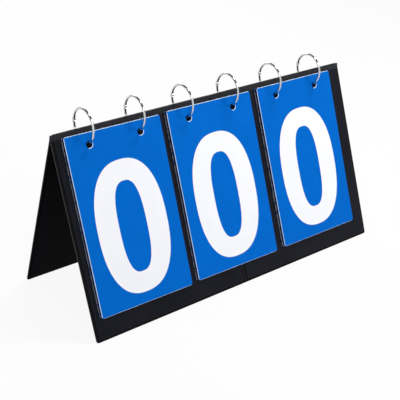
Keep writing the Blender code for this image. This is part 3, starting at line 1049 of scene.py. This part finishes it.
def lug_mesh(heading, side):
    """The flattened eye of one half, on one side of the knuckle."""
    bend = math.asin(LUG_HALF_WIDTH / LUG_RADIUS)
    length = WIRE_SETBACK + LUG_OVERLAP
    outline = [(length, -LUG_HALF_WIDTH), (length, LUG_HALF_WIDTH)]
    for step in range(25):
        angle = bend + (2 * math.pi - 2 * bend) * step / 24
        outline.append((LUG_RADIUS * math.cos(angle), LUG_RADIUS * math.sin(angle)))
    mesh = flat_shape("lug", [outline, circle(0, 0, LUG_EYE, 20)], LUG_THICKNESS)
    along = ring_along(KNUCKLE) * heading
    sideways = Vector((1, 0, 0))
    place = Matrix((along, sideways.cross(along), sideways)).transposed().to_4x4()
    place.translation = ring_point(KNUCKLE)
    middle = side * (LUG_GAP + LUG_THICKNESS) / 2
    mesh.transform(place @ Matrix.Translation((0, 0, middle)))
    return mesh


def clasp_pin():
    """The short pin along the ring that enters the other half's socket."""
    work = bmesh.new()
    nose = CLASP_PIN * 0.7
    bmesh.ops.create_cone(
        work, cap_ends=True, segments=20, radius1=CLASP_PIN, radius2=nose, depth=CLASP_PIN_LENGTH,
    )
    mesh = closed(work, bpy.data.meshes.new("tip"))
    heading = Vector((0, 0, 1)).rotation_difference(ring_along(CLASP)).to_matrix().to_4x4()
    mesh.transform(Matrix.Translation(ring_point(CLASP)) @ heading)
    return mesh


def rivet_mesh():
    """Domed rivet through both eyes, turned from its profile."""
    seat = LUG_GAP / 2 + LUG_THICKNESS + RIVET_PLAY
    dome = [(0, seat + RIVET_DOME)]
    for k in range(1, 7):
        angle = math.pi / 2 * k / 6
        dome.append((RIVET_HEAD * math.sin(angle), seat + RIVET_DOME * math.cos(angle)))
    profile = [*dome, (RIVET_SHANK, seat), (RIVET_SHANK, -seat)]
    profile += [(r, -z) for r, z in reversed(dome)]
    outline = path_mesh("rivet", [(r, 0, z) for r, z in profile])
    carrier = link(bpy.data.objects.new("rivet", outline))
    screw = carrier.modifiers.new("turn", "SCREW")
    screw.steps = 24
    screw.render_steps = 24
    screw.use_merge_vertices = True
    screw.merge_threshold = MERGE_REACH
    mesh = baked(carrier)
    centre = Matrix.Translation(ring_point(KNUCKLE))
    mesh.transform(centre @ Matrix.Rotation(math.pi / 2, 4, "Y"))
    return tidy_mesh(mesh)


def ring_places(x, hang):
    """Where a ring's wires hang, and its knuckle, which stays square so that it opens freely."""
    slide, lean, turn, drop = hang
    knuckle = ring_point(KNUCKLE)
    about = Matrix.Translation(knuckle) @ Matrix.Rotation(drop / knuckle.y, 4, "X")
    dropped = about @ Matrix.Translation(-knuckle)
    level = Matrix.Translation((0, 0, RING_LEVEL))
    leaned = level.inverted() @ Matrix.Rotation(math.radians(lean), 4, "Y") @ level
    turned = Matrix.Rotation(math.radians(turn), 4, "Z")
    hung = Matrix.Translation((x + slide, 0, RING_CENTRE_Z)) @ turned @ leaned @ dropped
    square = Matrix.Translation(((hung @ knuckle).x, 0, RING_CENTRE_Z)) @ dropped
    return hung, square


def joined(name, meshes):
    work = bmesh.new()
    for mesh in meshes:
        work.from_mesh(mesh)
    return closed(work, bpy.data.meshes.new(name))


def moved(mesh, place):
    copy = mesh.copy()
    copy.transform(place)
    return copy


def build_rings(metal):
    tree, sockets = wire_tree(metal)
    setback = WIRE_SETBACK / RING_RADIUS
    gap = WIRE_GAP / RING_RADIUS
    sweep = math.pi - setback - gap
    lower_wire = swept_wire("lower", tree, sockets, KNUCKLE + setback, sweep)
    upper_wire = swept_wire("upper", tree, sockets, CLASP + gap, sweep)
    parts = {
        "lower": ([lower_wire, clasp_pin()], lug_mesh(1, -1)),
        "upper": ([upper_wire], lug_mesh(-1, 1)),
        "pin": ([], rivet_mesh()),
    }
    for stack, x in STACKS.items():
        for side, dx in RING_SIDES.items():
            hung, square = ring_places(x + dx, RING_HANG[f"{stack}_{side}"])
            for part, (wires, knuckle) in parts.items():
                node = f"ring_{stack}_{side}_{part}"
                pieces = [moved(wire, hung) for wire in wires] + [moved(knuckle, square)]
                body = next(name for name, members in RECORD_BODIES.items() if node in members)
                mesh = joined(node, pieces)
                finish_piece(f"bright_{node}", mesh, [metal], 35, body, [node])


# Stage, lamps and camera
def stage_object(name, work, white, height):
    item = link(bpy.data.objects.new(name, closed(work, bpy.data.meshes.new(name))))
    item.data.materials.append(white)
    item.location.z = height
    return item


def build_stage():
    """A white floor and an open round backdrop, under a plain dim sky."""
    white = studio_floor("white_studio_floor")
    work = bmesh.new()
    bmesh.ops.create_grid(work, x_segments=1, y_segments=1, size=FLOOR_HALF)
    floor = stage_object("floor", work, white, -FLOOR_DROP)
    work = bmesh.new()
    bmesh.ops.create_cone(
        work, cap_ends=False, segments=96, radius1=BACKDROP_RADIUS, radius2=BACKDROP_RADIUS,
        depth=BACKDROP_HEIGHT,
    )
    bmesh.ops.reverse_faces(work, faces=work.faces)
    wall = stage_object("backdrop", work, white, BACKDROP_HEIGHT / 2 - BACKDROP_DROP)
    wall.data.shade_smooth()
    world = bpy.context.scene.world or bpy.data.worlds.new("studio")
    bpy.context.scene.world = world
    world.use_nodes = True
    tree = world.node_tree
    tree.nodes.clear()
    light = {"Color": (1, 1, 1, 1), "Strength": SKY_LIGHT}
    sky = add_node(tree, "ShaderNodeBackground", light)
    add_node(tree, "ShaderNodeOutputWorld", {"Surface": sky.outputs["Background"]})


def add_lamp(name, place, aim, size, power):
    light = bpy.data.lights.new(name, "AREA")
    light.shape = "RECTANGLE"
    light.size, light.size_y = size
    light.energy = power
    lamp = link(bpy.data.objects.new(name, light))
    lamp.location = place
    lamp.rotation_mode = "QUATERNION"
    lamp.rotation_quaternion = (Vector(aim) - Vector(place)).to_track_quat("-Z", "Y")


def build_camera():
    data = bpy.data.cameras.new("photo_camera")
    data.sensor_fit = "HORIZONTAL"
    data.sensor_width = 36.0
    data.lens = CAMERA_LENS
    data.clip_start = 0.01
    data.clip_end = 50.0
    camera = link(bpy.data.objects.new("photo_camera", data))
    turn = Matrix((CAMERA_RIGHT, -CAMERA_DOWN, -CAMERA_AHEAD)).transposed().to_4x4()
    camera.matrix_world = Matrix.Translation(CAMERA_PLACE) @ turn
    bpy.context.scene.camera = camera


def main():
    bpy.context.scene.view_settings.view_transform = "Standard"
    build_camera()
    build_stage()
    for lamp in LAMPS:
        add_lamp(*lamp)

    cover_vinyl = grained_vinyl(
        "cover_vinyl", (0.0034, 0.0040, 0.0076), (0.0084, 0.0090, 0.0140), sheen=0.10,
    )
    lining_vinyl = grained_vinyl(
        "lining_vinyl", (0.0012, 0.0013, 0.0024), (0.0026, 0.0027, 0.0042), sheen=0.02,
        smooth=0.55, rough=0.7,
    )
    # the fold's lighter, greyer base colour is painted sheen; its lower roughness and stronger
    # specular are its real gloss
    sheen_fold_vinyl = grained_vinyl(
        "stretched_fold_vinyl_painted_sheen", (0.0044, 0.0050, 0.0086), (0.0085, 0.0090, 0.0125), sheen=0.28,
        smooth=0.22, rough=0.34,
    )
    # the pressed welds and their ribs are darker than the cover: painted shade in the recessed rim
    shaded_weld_vinyl = grained_vinyl(
        "pressed_weld_vinyl_painted_shade", (0.0022, 0.0024, 0.0036), (0.0040, 0.0042, 0.0056), sheen=0.06,
    )
    cut_vinyl = grained_vinyl(
        "cut_vinyl_edge", (0.055, 0.054, 0.053), (0.105, 0.100, 0.096), sheen=0.2,
    )
    deep, light = (0.0002, 0.124, 0.530), (0.0006, 0.137, 0.585)
    # the front card's pale rim is a painted highlight on its lit edges and hole lips
    front_blue = blue_print("front_card_blue_print_painted_highlight", deep, light, (0.72, 0.86, 0.98))
    # the deeper cards' dark navy rim is painted shade on their edges and hole lips
    stack_blue = blue_print("stack_card_blue_print_painted_shade", deep, light, (0.0008, 0.010, 0.070))
    bare_edge = cut_edge("bare_card_edge", (0.10, 0.25, 0.60), (0.88, 0.93, 0.98), 0.56)
    # dark navy cut edges: painted shade of the gaps between cards 1 to 6
    shaded_card_edge = cut_edge("painted_shade_card_edge", (0.0005, 0.006, 0.045), (0.004, 0.03, 0.15), 0.36)
    # the punched hole walls are near black: painted shade inside the holes
    shaded_hole_wall = cut_edge("painted_shade_hole_wall", (0.0005, 0.002, 0.008), (0.001, 0.008, 0.03), 0.36)
    white = white_print("white_digit_print")
    nickel = bright_nickel("bright_nickel", (0.66, 0.66, 0.665))
    board = grey_board("grey_stiffener_board")

    outer_skin([cover_vinyl, shaded_weld_vinyl, cut_vinyl, sheen_fold_vinyl])
    tree, sockets = rib_tree(shaded_weld_vinyl)
    for panel, front in (("front", True), ("back", False)):
        inner_skin(panel, front, [lining_vinyl, lining_vinyl, cut_vinyl])
        weld_ribs(panel, front, shaded_weld_vinyl, tree, sockets)
    build_cards(front_blue, stack_blue, white, bare_edge, shaded_card_edge, shaded_hole_wall)
    build_rings(nickel)

    looks = {"board": board, "ring": nickel, "card": stack_blue}
    for name, node in frame["nodes"].items():
        made = next((look for key, look in looks.items() if key in name), cover_vinyl)
        for material_slot in node.material_slots:
            material_slot.material = made


main()
